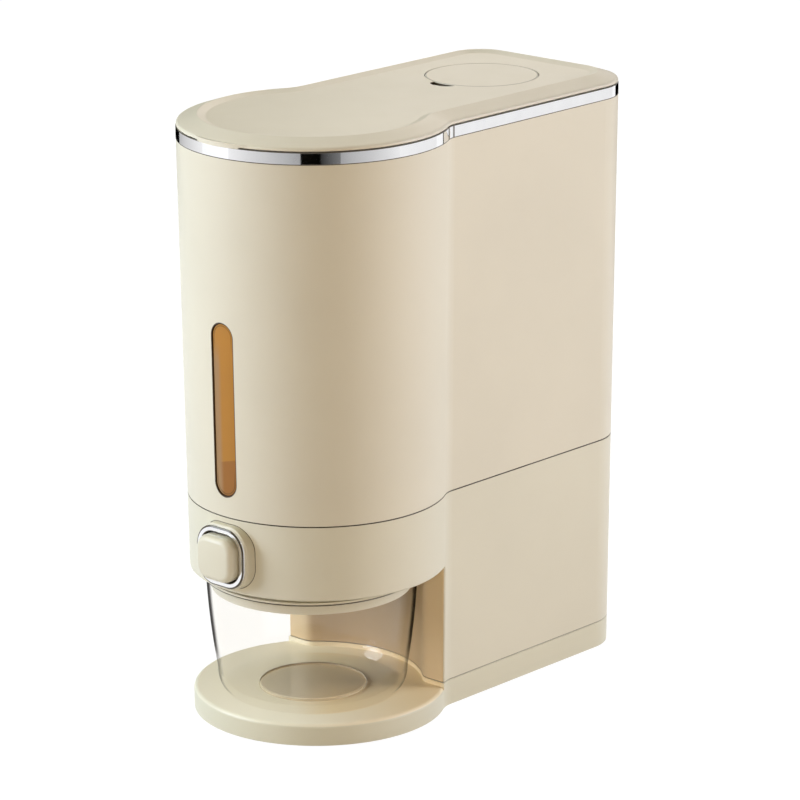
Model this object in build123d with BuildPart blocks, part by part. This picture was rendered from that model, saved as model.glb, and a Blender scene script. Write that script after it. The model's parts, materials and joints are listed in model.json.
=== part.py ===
from build123d import *
import os
from math import asin, atan2, cos, degrees, pi, radians, sin, sqrt, tan

os.makedirs("parts", exist_ok=True)

# Plan of the body, measured at the top of the trim; the origin is the axis of the round front
front_radius = 80.0
box_half_width = 66.8
back_reach = 217.2
back_corner_radius = 33.0
neck_radius = 15.0
draft_angle = 0.7

# Heights, stacked from the table upwards
foot_stand = 1.0
base_height = 13.1
plinth_rise = 2.7
cup_height = 70.0
collar_rise = 1.2
collar_flange = 1.6
cup_headroom = 1.1
outlet_thickness = 2.5
housing_height = 45.5
shell_height = 214.3
trim_height = 7.4
lid_gap = 0.6
lid_height = 5.9
panel_drop = 1.7

# Walls
base_wall = 2.5
casing_wall = 3.0
housing_floor = 2.5
hopper_wall = 2.0
lid_wall = 2.2

# Clearances
seat_gap = 0.1
loose_gap = 0.3
running_gap = 0.05
slot_gap = 0.2
seam_gap = 0.4
seam_bevel = 0.4

# Bay for the cup
pocket_gap = 1.5
land_y = 39.8
bay_corner_radius = 1.5
pocket_blend = 9.0
pad_edge_radius = 2.4
sill_bevel_size = 0.8

# Base plate, feet and screws
plate_thickness = 2.5
plate_sink = 0.5
foot_radius = 9.0
foot_recess = 1.0
foot_front_x = 42.0
foot_front_y = -38.0
foot_back_x = 38.0
foot_back_margin = 32.2
screw_radius = 1.5
screw_head_radius = 3.0
screw_head_height = 1.6
screw_boss_radius = 4.5
plate_screw_depth = 5.5
casing_screw_depth = 14.0
pad_screw_spots = [(0, -56), (-54, 14), (54, 14)]
plinth_screw_margin = 67.2
plinth_screw_spots = [(-40, back_reach - plinth_screw_margin), (40, back_reach - plinth_screw_margin)]
casing_screw_margin = 21.2
casing_screw_spots = [(-44, 95), (44, 95)]
casing_screw_spots += [(-30, back_reach - casing_screw_margin), (30, back_reach - casing_screw_margin)]

# Lap joint between the casings
tongue_thickness = 1.6
tongue_rise = 4.0
tongue_root = 5.0

# Outlet cover under the housing
outlet_radius = 64.0
spigot_radius = 45.0
spigot_rise = 2.0
spout_radius = 34.0

# Measuring cup
cup_axis_y = -6.0
cup_foot_gap = 0.2
cup_rim_radius = 63.1
cup_knee_radius = 56.8
cup_knee_height = 11.9
cup_foot_radius = 53.0
cup_side_bulge = 0.9
cup_heel_bulge = 1.2
cup_wall = 2.4
cup_floor = 4.0
punt_radius = 32.0
punt_depth = 1.6
collar_wall = 2.4
collar_depth = 5.8
collar_overhang = 1.4
collar_groove = 0.8
collar_clearance = 0.7

# Hopper and throat
hopper_clearance = 2.2
flange_thickness = 2.0
flange_sink = 0.3
throat_half_width = 22.0
throat_half_length = 16.0
funnel_lift = 6.0
front_slope = 35.0
back_slope = 32.0
side_slope = 40.0

# Dispensing gate
button_travel = 7.0
gate_swing = 36.0
gate_radius = 29.5
gate_wall = 2.0
gate_floor_gap = 1.5
gate_overlap = 5.0
gate_side_gap = 1.0
gate_hub_radius = 5.0
gate_pin_radius = 2.0
gate_pin_head_radius = 3.2
gate_pin_head = 1.2
drive_pin_radius = 2.0
seal_thickness = 1.6

# Button, its bezel and its yoke
button_width = 28.8
button_height = 27.2
button_corner = 9.0
button_length = 14.4
button_wall = 2.0
button_edge_radius = 4.0
button_crown_radius = 110.0
button_surround = 0.8
button_proud = 7.0
bezel_width = 3.8
bezel_proud = 2.2
bezel_edge_radius = 1.0
bezel_sleeve = 1.2
bezel_depth = 8.0
boss_margin = 1.0
boss_proud = 4.0
boss_edge_radius = 0.8
boss_inner_depth = 11.0
guide_wall = 2.0
guide_depth = 8.0
stem_radius = 4.5
socket_wall = 2.0
socket_depth = 6.0
yoke_bar = 6.0
yoke_height = 10.0
yoke_arm = 3.0
yoke_side_gap = 1.5
yoke_bar_setback = 27.0
spring_radius = 7.8
spring_wire = 0.5
spring_turns = 6

# Window in the front
window_width = 16.8
window_height = 104.4
window_sill = 12.5
lens_sink = 0.8
lens_flange_margin = 3.0
lens_flange = 1.2
window_overlap = 1.5

# Trim and lid
trim_thickness = 1.3
trim_edge_radius = 0.4
lid_inset = 0.2
lid_edge_height = 1.8
lid_edge_radius = 2.3
rim_width = 12.5
rim_slope = 5.0
crest_radius = 1.6
dish_radius = 3.0
dish_margin = 3.0
liner_inset = 9.5
liner_depth = 7.6
liner_wall = 2.0
liner_floor = 2.0
liner_flange = 1.5
seal_height = 3.0
seal_reach = 1.2
lid_screw_radius = 1.2
lid_screw_head_radius = 2.6
lid_screw_head = 1.5
lid_boss_radius = 3.5
lid_screw_margin = 27.2
lid_screw_spots = [(0, -56), (-42, 20), (42, 20), (-42, 100), (42, 100)]
lid_screw_spots += [(-34, back_reach - lid_screw_margin), (34, back_reach - lid_screw_margin)]
lip_radius = 48.0
lip_proud = 1.5
lip_drop = 0.8
lip_gap = 0.3

# Desiccant holder in the lid
holder_margin = 70.0
holder_cap_radius = 34.3
holder_cap_thickness = 2.0
holder_gap = 0.45
holder_flange = 1.2
holder_radius = 31.4
holder_wall = 1.5
holder_depth = 21.0
holder_ledge = 2.4
holder_boss_wall = 2.4
cap_skirt = 3.5
cap_skirt_wall = 1.8
notch_half_width = 9.0
notch_reach = 6.5
vent_count = 12
vent_width = 2.2
vent_height = 9.0
vent_hole_radius = 1.4
sachet_radius = 25.0
sachet_height = 11.0

# Hinge
hinge_gap = 0.5
barrel_radius = 3.6
hinge_pin_radius = 1.5
lid_knuckle_half = 20.0
hinge_half_width = 36.0
knuckle_gap = 0.5
hinge_sink = 4.2
bracket_drop = 9.0

# Levels worked out from the stack
base_under = foot_stand
plate_bottom = base_under + plate_sink
plate_top = plate_bottom + plate_thickness
pad_top = base_under + base_height
plinth_top = pad_top + plinth_rise
casing_bottom = plinth_top + seam_gap
cup_bottom = pad_top + cup_foot_gap
cup_rim = pad_top + cup_height
collar_bottom = cup_rim + collar_rise
collar_top = collar_bottom + collar_flange
outlet_bottom = collar_top + cup_headroom
housing_bottom = outlet_bottom + outlet_thickness
seam = housing_bottom + housing_height
shell_bottom = seam + seam_gap
shell_top = seam + shell_height
trim_top = shell_top + trim_height
lid_bottom = trim_top + lid_gap
lid_crest = lid_bottom + lid_height
panel_top = lid_crest - panel_drop
panel_under = panel_top - lid_wall
neck_top = trim_top - flange_sink - flange_thickness
flange_top = neck_top + flange_thickness

# Radii of the collar on the cup and of the pocket around it
collar_radius = cup_rim_radius + collar_overhang
collar_skirt_radius = cup_rim_radius - cup_wall - collar_clearance
pocket_radius = collar_radius + pocket_gap

# Insets of the nested walls from the outside of the body
neck_inset = trim_thickness + seat_gap
hopper_inset = casing_wall + hopper_clearance
hopper_inner_inset = hopper_inset + hopper_wall

# Places of the gate and the button
throat_outer_width = throat_half_width + hopper_wall
throat_outer_length = throat_half_length + hopper_wall
pivot_z = housing_bottom + housing_floor + gate_floor_gap + gate_radius
funnel_bottom = pivot_z + funnel_lift
gate_inner_radius = gate_radius - gate_wall
seal_radius = gate_inner_radius - loose_gap
mouth_radius = seal_radius - seal_thickness
gate_half_angle = degrees(asin(throat_half_length / gate_inner_radius)) + gate_overlap
cheek_inner = throat_outer_width + gate_side_gap
cheek_outer = cheek_inner + gate_wall
lever = button_travel / (2 * sin(radians(gate_swing / 2)))
drive_pin_y = -lever * sin(radians(gate_swing / 2))
drive_pin_high = pivot_z - lever * cos(radians(gate_swing / 2))
drive_pin_low = pivot_z - lever
button_z = (drive_pin_high + drive_pin_low) / 2
band_radius = front_radius - (trim_top - button_z) * tan(radians(draft_angle))
boss_face = band_radius + boss_proud
bezel_face = boss_face + bezel_proud
cap_face = bezel_face + button_proud
cap_inside = cap_face - button_wall
cap_back = cap_face - button_length
boss_back = boss_face - boss_inner_depth
guide_back = boss_back - guide_depth
yoke_front = boss_face - yoke_bar_setback - yoke_bar
arm_inner = cheek_outer + yoke_side_gap
arm_outer = arm_inner + yoke_arm

# Places of the hinge, the window and the desiccant holder
holder_y = back_reach - holder_margin
hinge_y = back_reach + hinge_gap + barrel_radius
hinge_z = trim_top - hinge_sink
window_z = seam + window_sill + window_height / 2
holder_floor_top = panel_top - holder_cap_thickness - loose_gap - holder_flange
holder_bottom = holder_floor_top - holder_depth
holder_well_radius = holder_cap_radius + holder_gap
holder_bore = holder_radius + holder_gap
ledge_bottom = holder_floor_top - holder_ledge
liner_bottom = flange_top - liner_depth


def draft_inset(height):
    """How far the drafted walls have come in at a height, from the top of the trim."""
    return (trim_top - height) * tan(radians(draft_angle))


def keyhole(inset=0.0):
    """Plan of the body: a round front, a concave neck on each side and a box with round back corners."""
    radius = front_radius - inset
    side = box_half_width - inset
    back = back_reach - inset
    neck_x = box_half_width + neck_radius
    neck_y = sqrt((front_radius + neck_radius) ** 2 - neck_x ** 2)
    touch = radius / (front_radius + neck_radius)
    corner_x = box_half_width - back_corner_radius
    corner_y = back_reach - back_corner_radius
    with BuildSketch() as plan:
        with BuildLine():
            front = ThreePointArc((-neck_x * touch, neck_y * touch), (0, -radius), (neck_x * touch, neck_y * touch))
            neck = TangentArc(front @ 1, (side, neck_y), tangent=front % 1)
            right = Line(neck @ 1, (side, corner_y))
            corner = TangentArc(right @ 1, (corner_x, back), tangent=right % 1)
            rear = Line(corner @ 1, (-corner_x, back))
            far_corner = TangentArc(rear @ 1, (-side, corner_y), tangent=rear % 1)
            left = Line(far_corner @ 1, (-side, neck_y))
            TangentArc(left @ 1, front @ 0, tangent=left % 1)
        make_face()
    return plan.sketch


def body_sections(inset, bottom, top, bevel=0.0):
    """Outlines of the drafted body at two heights, ready to be lofted; the bevel draws in the upper one."""
    sections = []
    for height, extra in ((bottom, 0), (top, bevel)):
        with BuildSketch(Plane.XY.offset(height)) as section:
            add(keyhole(inset + extra + draft_inset(height)))
        sections.append(section.sketch)
    return sections


def bay_plan(grow=0.0):
    """Plan of the cup bay: everything in front of the lands, and the round pocket blended in between them."""
    depth = 2 * front_radius
    with BuildSketch() as plan:
        with Locations((0, land_y + grow - depth / 2)):
            Rectangle(2 * depth, depth)
        with Locations((0, cup_axis_y)):
            Circle(pocket_radius + grow)
        corners = plan.vertices().filter_by(lambda v: abs(v.Y - land_y - grow) < seat_gap and abs(v.X) < front_radius)
        fillet(corners, pocket_blend - grow)
    return plan.sketch


def funnel(grow):
    """Four slopes that lead from the hopper walls to the throat, moved out by a wall thickness."""
    height = shell_top - funnel_bottom
    with BuildPart() as slopes:
        for rise in (0, height):
            half_width = throat_half_width + rise / tan(radians(side_slope)) + grow / sin(radians(side_slope))
            front = -throat_half_length - rise / tan(radians(front_slope)) - grow / sin(radians(front_slope))
            back = throat_half_length + rise / tan(radians(back_slope)) + grow / sin(radians(back_slope))
            with BuildSketch(Plane.XY.offset(funnel_bottom + rise)):
                with Locations((0, (front + back) / 2)):
                    Rectangle(2 * half_width, back - front)
        loft(ruled=True)
    return slopes.part


def ring_sector(inner, outer, start, sweep):
    """Part of a flat ring, in the gate's side view, with its centre on the pivot."""
    with BuildSketch() as sector:
        with BuildLine():
            outside = CenterArc((0, pivot_z), outer, start, sweep)
            inside = CenterArc((0, pivot_z), inner, start, sweep)
            Line(outside @ 0, inside @ 0)
            Line(outside @ 1, inside @ 1)
        make_face()
    return sector.sketch


def button_outline(grow=0.0):
    """Rounded square of the button, grown by the same amount on every side."""
    with BuildSketch() as outline:
        with Locations((0, button_z)):
            RectangleRounded(button_width + 2 * grow, button_height + 2 * grow, button_corner + grow)
    return outline.sketch


def cup_outline(shrink, floor_z):
    """Half section of the cup, from its axis to its side, drawn in by a wall thickness."""
    with BuildSketch() as half:
        with BuildLine():
            base = Line((0, floor_z), (cup_foot_radius - shrink, floor_z))
            heel = SagittaArc(base @ 1, (cup_knee_radius - shrink, cup_bottom + cup_knee_height), -cup_heel_bulge)
            side = SagittaArc(heel @ 1, (cup_rim_radius - shrink, cup_rim), -cup_side_bulge)
            top = Line(side @ 1, (0, cup_rim))
            Line(top @ 1, base @ 0)
        make_face()
    return half.sketch


def window_layer(margin, outer_inset, inner_inset):
    """Slot-shaped piece of the drafted wall between two insets."""
    reach = 2 * casing_wall + hopper_clearance
    with BuildPart() as layer:
        with BuildSketch(Plane.XZ.offset(front_radius - 2 * reach)):
            with Locations((0, window_z)):
                SlotOverall(window_height + 2 * margin, window_width + 2 * margin, rotation=90)
        extrude(amount=3 * reach)
        loft(body_sections(outer_inset, seam, shell_top), ruled=True, mode=Mode.INTERSECT)
        loft(body_sections(inner_inset, seam, shell_top), ruled=True, mode=Mode.SUBTRACT)
    return layer.part


def flat_screw(radius, head_radius, head, depth):
    """Countersunk screw with its head's flat face at the origin, pointing up."""
    with BuildPart() as screw:
        Cone(head_radius, radius, head, align=(Align.CENTER, Align.CENTER, Align.MIN))
        Cylinder(radius, depth, align=(Align.CENTER, Align.CENTER, Align.MIN))
    return screw.part


def pan_screw(radius, head_radius, head, depth):
    """Round-headed screw with the underside of its head at the origin, pointing up."""
    with BuildPart() as screw:
        Cylinder(head_radius, head, align=(Align.CENTER, Align.CENTER, Align.MAX))
        fillet(screw.edges().group_by(Axis.Z)[0], head / 2)
        Cylinder(radius, depth, align=(Align.CENTER, Align.CENTER, Align.MIN))
    return screw.part


# Base tray: the foot of the body, with the round pad for the cup in front
with BuildPart() as base_cavity:
    loft(body_sections(base_wall, base_under, plinth_top - base_wall), ruled=True)
    with BuildSketch(Plane.XY.offset(pad_top - base_wall)):
        add(bay_plan(base_wall))
    extrude(amount=plinth_rise, mode=Mode.SUBTRACT)

with BuildPart() as base_tray:
    loft(body_sections(0, base_under, plinth_top - seam_bevel), ruled=True)
    loft(body_sections(0, plinth_top - seam_bevel, plinth_top, seam_bevel), ruled=True)
    with BuildSketch(Plane.XY.offset(pad_top)):
        add(bay_plan())
    extrude(amount=plinth_rise, mode=Mode.SUBTRACT)
    pad_face = base_tray.faces().filter_by(Axis.Z).group_by(Axis.Z)[1]
    fillet(pad_face.edges().sort_by(SortBy.LENGTH)[-1], pad_edge_radius)
    add(base_cavity.part, mode=Mode.SUBTRACT)
    for spots, ceiling in ((pad_screw_spots, pad_top), (plinth_screw_spots, plinth_top)):
        with BuildSketch(Plane.XY.offset(plate_top)):
            with Locations(spots):
                Circle(screw_boss_radius)
        extrude(amount=ceiling - base_wall / 2 - plate_top)
    with BuildSketch(Plane.XY.offset(base_under)):
        with Locations(pad_screw_spots + plinth_screw_spots):
            Circle(screw_radius + seat_gap)
    extrude(amount=plate_sink + plate_thickness + plate_screw_depth, mode=Mode.SUBTRACT)
    with BuildSketch(Plane.XY.offset(pad_top)):
        with Locations(casing_screw_spots):
            Circle(screw_radius + seat_gap)
    extrude(amount=plinth_rise, mode=Mode.SUBTRACT)
base_tray.part.label = "base_tray"
export_step(base_tray.part, "parts/base_tray.step")

# Bottom plate: closes the tray from below and carries the feet
foot_spots = [(0, 0)]
for side in (-1, 1):
    foot_spots.append((side * foot_front_x, foot_front_y))
    foot_spots.append((side * foot_back_x, back_reach - foot_back_margin))
plate_screw_spots = pad_screw_spots + plinth_screw_spots

with BuildPart() as bottom_plate:
    with BuildSketch(Plane.XY.offset(plate_bottom)):
        add(keyhole(draft_inset(base_under) + base_wall + slot_gap))
    extrude(amount=plate_thickness)
    with BuildSketch(Plane.XY.offset(plate_bottom)):
        with Locations(foot_spots):
            Circle(foot_radius + seat_gap)
    extrude(amount=foot_recess, mode=Mode.SUBTRACT)
    with Locations([(x, y, plate_bottom) for x, y in plate_screw_spots]):
        add(flat_screw(screw_radius + seat_gap, screw_head_radius + seat_gap, screw_head_height, plate_thickness),
            mode=Mode.SUBTRACT)
bottom_plate.part.label = "bottom_plate"
export_step(bottom_plate.part, "parts/bottom_plate.step")

# Rubber feet: four near the corners and one under the middle of the cup pad
with BuildPart() as rubber_feet:
    with BuildSketch():
        with Locations(foot_spots):
            Circle(foot_radius)
    extrude(amount=plate_bottom + foot_recess)
    fillet(rubber_feet.edges().group_by(Axis.Z)[0], foot_stand / 2)
rubber_feet.part.label = "rubber_feet"
export_step(rubber_feet.part, "parts/rubber_feet.step")

# Screws that hold the bottom plate to the tray
with BuildPart() as plate_screws:
    with Locations([(x, y, plate_bottom) for x, y in plate_screw_spots]):
        add(flat_screw(screw_radius, screw_head_radius, screw_head_height, plate_thickness + plate_screw_depth - seat_gap))
plate_screws.part.label = "plate_screws"
export_step(plate_screws.part, "parts/plate_screws.step")

# Screws that hold the tray to the lower casing
with BuildPart() as casing_screws:
    with Locations([(x, y, plinth_top - base_wall) for x, y in casing_screw_spots]):
        add(pan_screw(screw_radius, screw_head_radius, screw_head_height, base_wall + casing_screw_depth))
casing_screws.part.label = "casing_screws"
export_step(casing_screws.part, "parts/casing_screws.step")

# Lower casing: the box behind the cup and the round housing over it, in one shell
with BuildPart() as casing_cavity:
    loft(body_sections(casing_wall, casing_bottom + casing_wall, seam + tongue_rise), ruled=True)
    with BuildSketch(Plane.XY.offset(casing_bottom)):
        add(bay_plan(casing_wall))
    extrude(amount=housing_bottom + housing_floor - casing_bottom, mode=Mode.SUBTRACT)

with BuildPart() as casing_tongue:
    loft(body_sections(casing_wall / 2, seam - tongue_root, seam), ruled=True)
    loft(body_sections(casing_wall + seat_gap, seam, seam + tongue_rise), ruled=True)
    loft(body_sections(casing_wall + seat_gap + tongue_thickness, seam - tongue_root, seam + tongue_rise),
         ruled=True, mode=Mode.SUBTRACT)

with BuildPart() as sill_bevel:
    with BuildSketch(Plane.XY.offset(housing_bottom)):
        add(bay_plan())
    extrude(amount=sill_bevel_size)
    with BuildSketch(Plane.XY.offset(housing_bottom)):
        add(keyhole(draft_inset(housing_bottom) + sill_bevel_size))
    with BuildSketch(Plane.XY.offset(housing_bottom + sill_bevel_size)):
        add(keyhole(draft_inset(housing_bottom + sill_bevel_size)))
    loft(ruled=True, mode=Mode.SUBTRACT)

with BuildPart() as lower_casing:
    loft(body_sections(0, casing_bottom, seam - seam_bevel), ruled=True)
    loft(body_sections(0, seam - seam_bevel, seam, seam_bevel), ruled=True)
    with BuildSketch(Plane.XY.offset(casing_bottom)):
        add(bay_plan())
    extrude(amount=housing_bottom - casing_bottom, mode=Mode.SUBTRACT)
    uprights = lower_casing.edges().filter_by(lambda e: e.bounding_box().size.Z > housing_bottom - casing_bottom - 1)
    corners = uprights.filter_by(lambda e: abs(e.center().Y - land_y) < loose_gap and abs(e.center().X) > pocket_radius - pocket_blend)
    fillet(corners, bay_corner_radius)
    add(sill_bevel.part, mode=Mode.SUBTRACT)
    # Raised square around the button
    with BuildSketch(Plane.XZ.offset(boss_back)):
        add(button_outline(button_surround + bezel_width + boss_margin))
    extrude(amount=boss_face - boss_back)
    fillet(lower_casing.faces().sort_by(Axis.Y)[0].edges(), boss_edge_radius)
    add(casing_cavity.part, mode=Mode.SUBTRACT)
    # Square collar behind the wall, where the guide is fixed
    with BuildSketch(Plane.XZ.offset(boss_back)):
        add(button_outline(button_surround + bezel_sleeve + seat_gap + guide_wall))
    extrude(amount=band_radius - casing_wall / 2 - boss_back)
    with BuildSketch(Plane.XZ.offset(boss_back)):
        add(button_outline(button_surround + bezel_sleeve + seat_gap))
    extrude(amount=boss_face - boss_back, mode=Mode.SUBTRACT)
    # Lap joint, opening for the outlet and screw bosses
    add(casing_tongue.part)
    with BuildSketch(Plane.XY.offset(housing_bottom)):
        Circle(spigot_radius + slot_gap)
    extrude(amount=housing_floor, mode=Mode.SUBTRACT)
    with BuildSketch(Plane.XY.offset(plinth_top)):
        with Locations(casing_screw_spots):
            Circle(screw_boss_radius)
    extrude(amount=seam_gap + casing_screw_depth + casing_wall)
    with BuildSketch(Plane.XY.offset(plinth_top)):
        with Locations(casing_screw_spots):
            Circle(screw_radius + seat_gap)
    extrude(amount=casing_screw_depth + seat_gap, mode=Mode.SUBTRACT)
lower_casing.part.label = "lower_casing"
export_step(lower_casing.part, "parts/lower_casing.step")

# Outlet cover: plate under the housing, with the spout for the grain
with BuildPart() as outlet_cover:
    with BuildSketch(Plane.XZ) as section:
        with BuildLine():
            Polyline(
                (spout_radius, outlet_bottom),
                (outlet_radius, outlet_bottom),
                (outlet_radius, housing_bottom),
                (spigot_radius, housing_bottom),
                (spigot_radius, housing_bottom + spigot_rise),
                (spout_radius, housing_bottom + spigot_rise),
                close=True,
            )
        make_face()
    revolve(axis=Axis.Z)
    with BuildSketch(Plane.XY.offset(outlet_bottom)):
        add(bay_plan(-loose_gap))
    extrude(amount=outlet_thickness + spigot_rise, mode=Mode.INTERSECT)
outlet_cover.part.label = "outlet_cover"
export_step(outlet_cover.part, "parts/outlet_cover.step")

# Upper shell: the tall body over the seam, with a neck for the trim and two hinge brackets
with BuildPart() as hinge_brackets:
    bracket_half = (hinge_half_width - lid_knuckle_half - knuckle_gap) / 2
    bracket_x = lid_knuckle_half + knuckle_gap + bracket_half
    with BuildSketch(Plane.YZ.offset(bracket_x - bracket_half)):
        with BuildLine():
            Polyline(
                (back_reach - casing_wall / 2, hinge_z - barrel_radius - bracket_drop),
                (back_reach - casing_wall / 2, shell_top - loose_gap),
                (hinge_y - barrel_radius, shell_top - loose_gap),
                (hinge_y - barrel_radius, hinge_z),
                (hinge_y + barrel_radius, hinge_z),
                (hinge_y + barrel_radius, hinge_z - barrel_radius),
                close=True,
            )
        make_face()
        with Locations((hinge_y, hinge_z)):
            Circle(barrel_radius)
            Circle(hinge_pin_radius + seat_gap / 2, mode=Mode.SUBTRACT)
    extrude(amount=2 * bracket_half)
    mirror(about=Plane.YZ)

with BuildPart() as upper_shell:
    loft(body_sections(0, shell_bottom, shell_top), ruled=True)
    loft(body_sections(neck_inset, shell_top, neck_top), ruled=True)
    loft(body_sections(casing_wall, shell_bottom, neck_top), ruled=True, mode=Mode.SUBTRACT)
    with BuildSketch(Plane.XZ.offset(front_radius / 2)):
        with Locations((0, window_z)):
            SlotOverall(window_height, window_width, rotation=90)
    extrude(amount=front_radius, mode=Mode.SUBTRACT)
    add(hinge_brackets.part)
upper_shell.part.label = "upper_shell"
export_step(upper_shell.part, "parts/upper_shell.step")

# Window: a lens in the slot with a flange behind the wall, and its rubber frame
with BuildPart() as window_lens:
    add(window_layer(-seat_gap, lens_sink, casing_wall + seat_gap + lens_flange))
    add(window_layer(lens_flange_margin, casing_wall + seat_gap, casing_wall + seat_gap + lens_flange))
window_lens.part.label = "window_lens"
export_step(window_lens.part, "parts/window_lens.step")

with BuildPart() as window_gasket:
    add(window_layer(lens_flange_margin, casing_wall + seat_gap + lens_flange + slot_gap, hopper_inset - seat_gap))
    add(window_layer(-window_overlap, casing_wall, hopper_inset + hopper_wall), mode=Mode.SUBTRACT)
window_gasket.part.label = "window_gasket"
export_step(window_gasket.part, "parts/window_gasket.step")

# Chrome trim around the neck of the shell
with BuildPart() as chrome_trim:
    with BuildSketch(Plane.XY.offset(shell_top)):
        add(keyhole())
        add(keyhole(trim_thickness), mode=Mode.SUBTRACT)
    extrude(amount=trim_height)
    fillet(chrome_trim.edges().group_by(Axis.Z)[-1], trim_edge_radius)
chrome_trim.part.label = "chrome_trim"
export_step(chrome_trim.part, "parts/chrome_trim.step")

# Hopper: hangs from the neck by its flange and narrows to the throat over the cup
outer_slopes = funnel(hopper_wall)
inner_slopes = funnel(0)
slope_meets_front = funnel_bottom + (front_radius - throat_half_length) * tan(radians(front_slope))
pane_bottom = max(window_z - window_height / 2, slope_meets_front) + window_overlap
pane_top = window_z + window_height / 2 - window_overlap

with BuildPart() as hopper_inside:
    loft(body_sections(hopper_inner_inset, funnel_bottom, shell_top), ruled=True)
    add(inner_slopes, mode=Mode.INTERSECT)
    with BuildSketch(Plane.XY.offset(shell_top)):
        add(keyhole(hopper_inner_inset + draft_inset(shell_top)))
    extrude(amount=flange_top - shell_top)
    with BuildSketch(Plane.XY.offset(pivot_z - gate_radius)):
        Rectangle(2 * throat_half_width, 2 * throat_half_length)
    extrude(amount=funnel_bottom - pivot_z + gate_radius)

with BuildPart() as hopper:
    loft(body_sections(hopper_inset, funnel_bottom, shell_top), ruled=True)
    add(outer_slopes, mode=Mode.INTERSECT)
    with BuildSketch(Plane.XY.offset(shell_top)):
        add(keyhole(hopper_inset + draft_inset(shell_top)))
    extrude(amount=neck_top - shell_top)
    with BuildSketch(Plane.XY.offset(neck_top)):
        add(keyhole(neck_inset + seat_gap))
    extrude(amount=flange_thickness)
    with BuildSketch(Plane.YZ.offset(-throat_outer_width)):
        with Locations((0, pivot_z)):
            Circle(mouth_radius - seat_gap)
        with Locations((0, funnel_bottom - gate_radius)):
            Rectangle(2 * throat_outer_length, 2 * gate_radius, mode=Mode.INTERSECT)
    extrude(amount=2 * throat_outer_width)
    add(hopper_inside.part, mode=Mode.SUBTRACT)
    with BuildSketch(Plane.YZ.offset(-throat_outer_width)):
        with Locations((0, pivot_z)):
            Circle(gate_pin_radius + running_gap / 2)
    extrude(amount=2 * throat_outer_width, mode=Mode.SUBTRACT)
    with BuildSketch(Plane.XZ.offset(front_radius / 2)):
        with Locations((0, (pane_bottom + pane_top) / 2)):
            SlotOverall(pane_top - pane_bottom, window_width - 2 * window_overlap, rotation=90)
    extrude(amount=front_radius, mode=Mode.SUBTRACT)
hopper.part.label = "hopper"
export_step(hopper.part, "parts/hopper.step")

# Rubber lip around the mouth of the throat
with BuildPart() as throat_seal:
    with BuildSketch(Plane.YZ.offset(-throat_outer_width)):
        with Locations((0, pivot_z)):
            Circle(seal_radius)
            Circle(mouth_radius, mode=Mode.SUBTRACT)
        with Locations((0, pivot_z - gate_radius)):
            Rectangle(2 * throat_outer_length, 2 * gate_radius, mode=Mode.INTERSECT)
    extrude(amount=2 * throat_outer_width)
    with BuildSketch(Plane.XY.offset(pivot_z - gate_radius)):
        Rectangle(2 * throat_half_width, 2 * throat_half_length)
    extrude(amount=gate_radius, mode=Mode.SUBTRACT)
throat_seal.part.label = "throat_seal"
export_step(throat_seal.part, "parts/throat_seal.step")

# Gate: a curved wall under the throat between two cheeks that swing on the pivot pins
gate_start = 270 - gate_half_angle
with BuildPart() as gate:
    with BuildSketch(Plane.YZ.offset(-cheek_outer)):
        add(ring_sector(gate_inner_radius, gate_radius, gate_start, 2 * gate_half_angle))
    extrude(amount=2 * cheek_outer)
    with BuildSketch(Plane.YZ.offset(cheek_inner)):
        add(ring_sector(gate_pin_radius, gate_radius, gate_start, 2 * gate_half_angle))
        with Locations((0, pivot_z)):
            Circle(gate_hub_radius)
    extrude(amount=gate_wall)
    with BuildSketch(Plane.YZ.offset(cheek_inner)):
        with Locations((drive_pin_y, drive_pin_high)):
            Circle(drive_pin_radius)
    extrude(amount=arm_outer - cheek_inner + seat_gap)
    with BuildSketch(Plane.YZ.offset(cheek_inner)):
        with Locations((0, pivot_z)):
            Circle(gate_pin_radius + running_gap)
    extrude(amount=gate_wall, mode=Mode.SUBTRACT)
    split(bisect_by=Plane.YZ, keep=Keep.TOP)
    mirror(about=Plane.YZ)
gate.part.label = "gate"
export_step(gate.part, "parts/gate.step")

# Pivot pins of the gate, pressed into the side walls of the throat
with BuildPart() as gate_pins:
    with BuildSketch(Plane.YZ.offset(throat_half_width + loose_gap)):
        with Locations((0, pivot_z)):
            Circle(gate_pin_radius)
    extrude(amount=cheek_outer + seat_gap - throat_half_width - loose_gap)
    with BuildSketch(Plane.YZ.offset(cheek_outer + seat_gap)):
        with Locations((0, pivot_z)):
            Circle(gate_pin_head_radius)
    extrude(amount=gate_pin_head)
    mirror(about=Plane.YZ)
gate_pins.part.label = "gate_pins"
export_step(gate_pins.part, "parts/gate_pins.step")

# Button cap: a crowned rounded square with a socket for the yoke
with BuildPart() as button_cap:
    with BuildSketch(Plane.XZ.offset(cap_back)):
        add(button_outline())
    extrude(amount=button_length)
    with Locations((0, button_crown_radius - cap_face, button_z)):
        Sphere(button_crown_radius, mode=Mode.INTERSECT)
    fillet(button_cap.faces().sort_by(Axis.Y)[0].edges(), button_edge_radius)
    with BuildSketch(Plane.XZ.offset(cap_back)):
        add(button_outline(-button_wall))
    extrude(amount=cap_inside - button_wall / 2 - cap_back, mode=Mode.SUBTRACT)
    with BuildSketch(Plane.XZ.offset(cap_inside - button_wall / 2 - socket_depth)):
        with Locations((0, button_z)):
            Circle(stem_radius + seat_gap / 2 + socket_wall)
            Circle(stem_radius + seat_gap / 2, mode=Mode.SUBTRACT)
    extrude(amount=socket_depth)
button_cap.part.label = "button_cap"
export_step(button_cap.part, "parts/button_cap.step")

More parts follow.
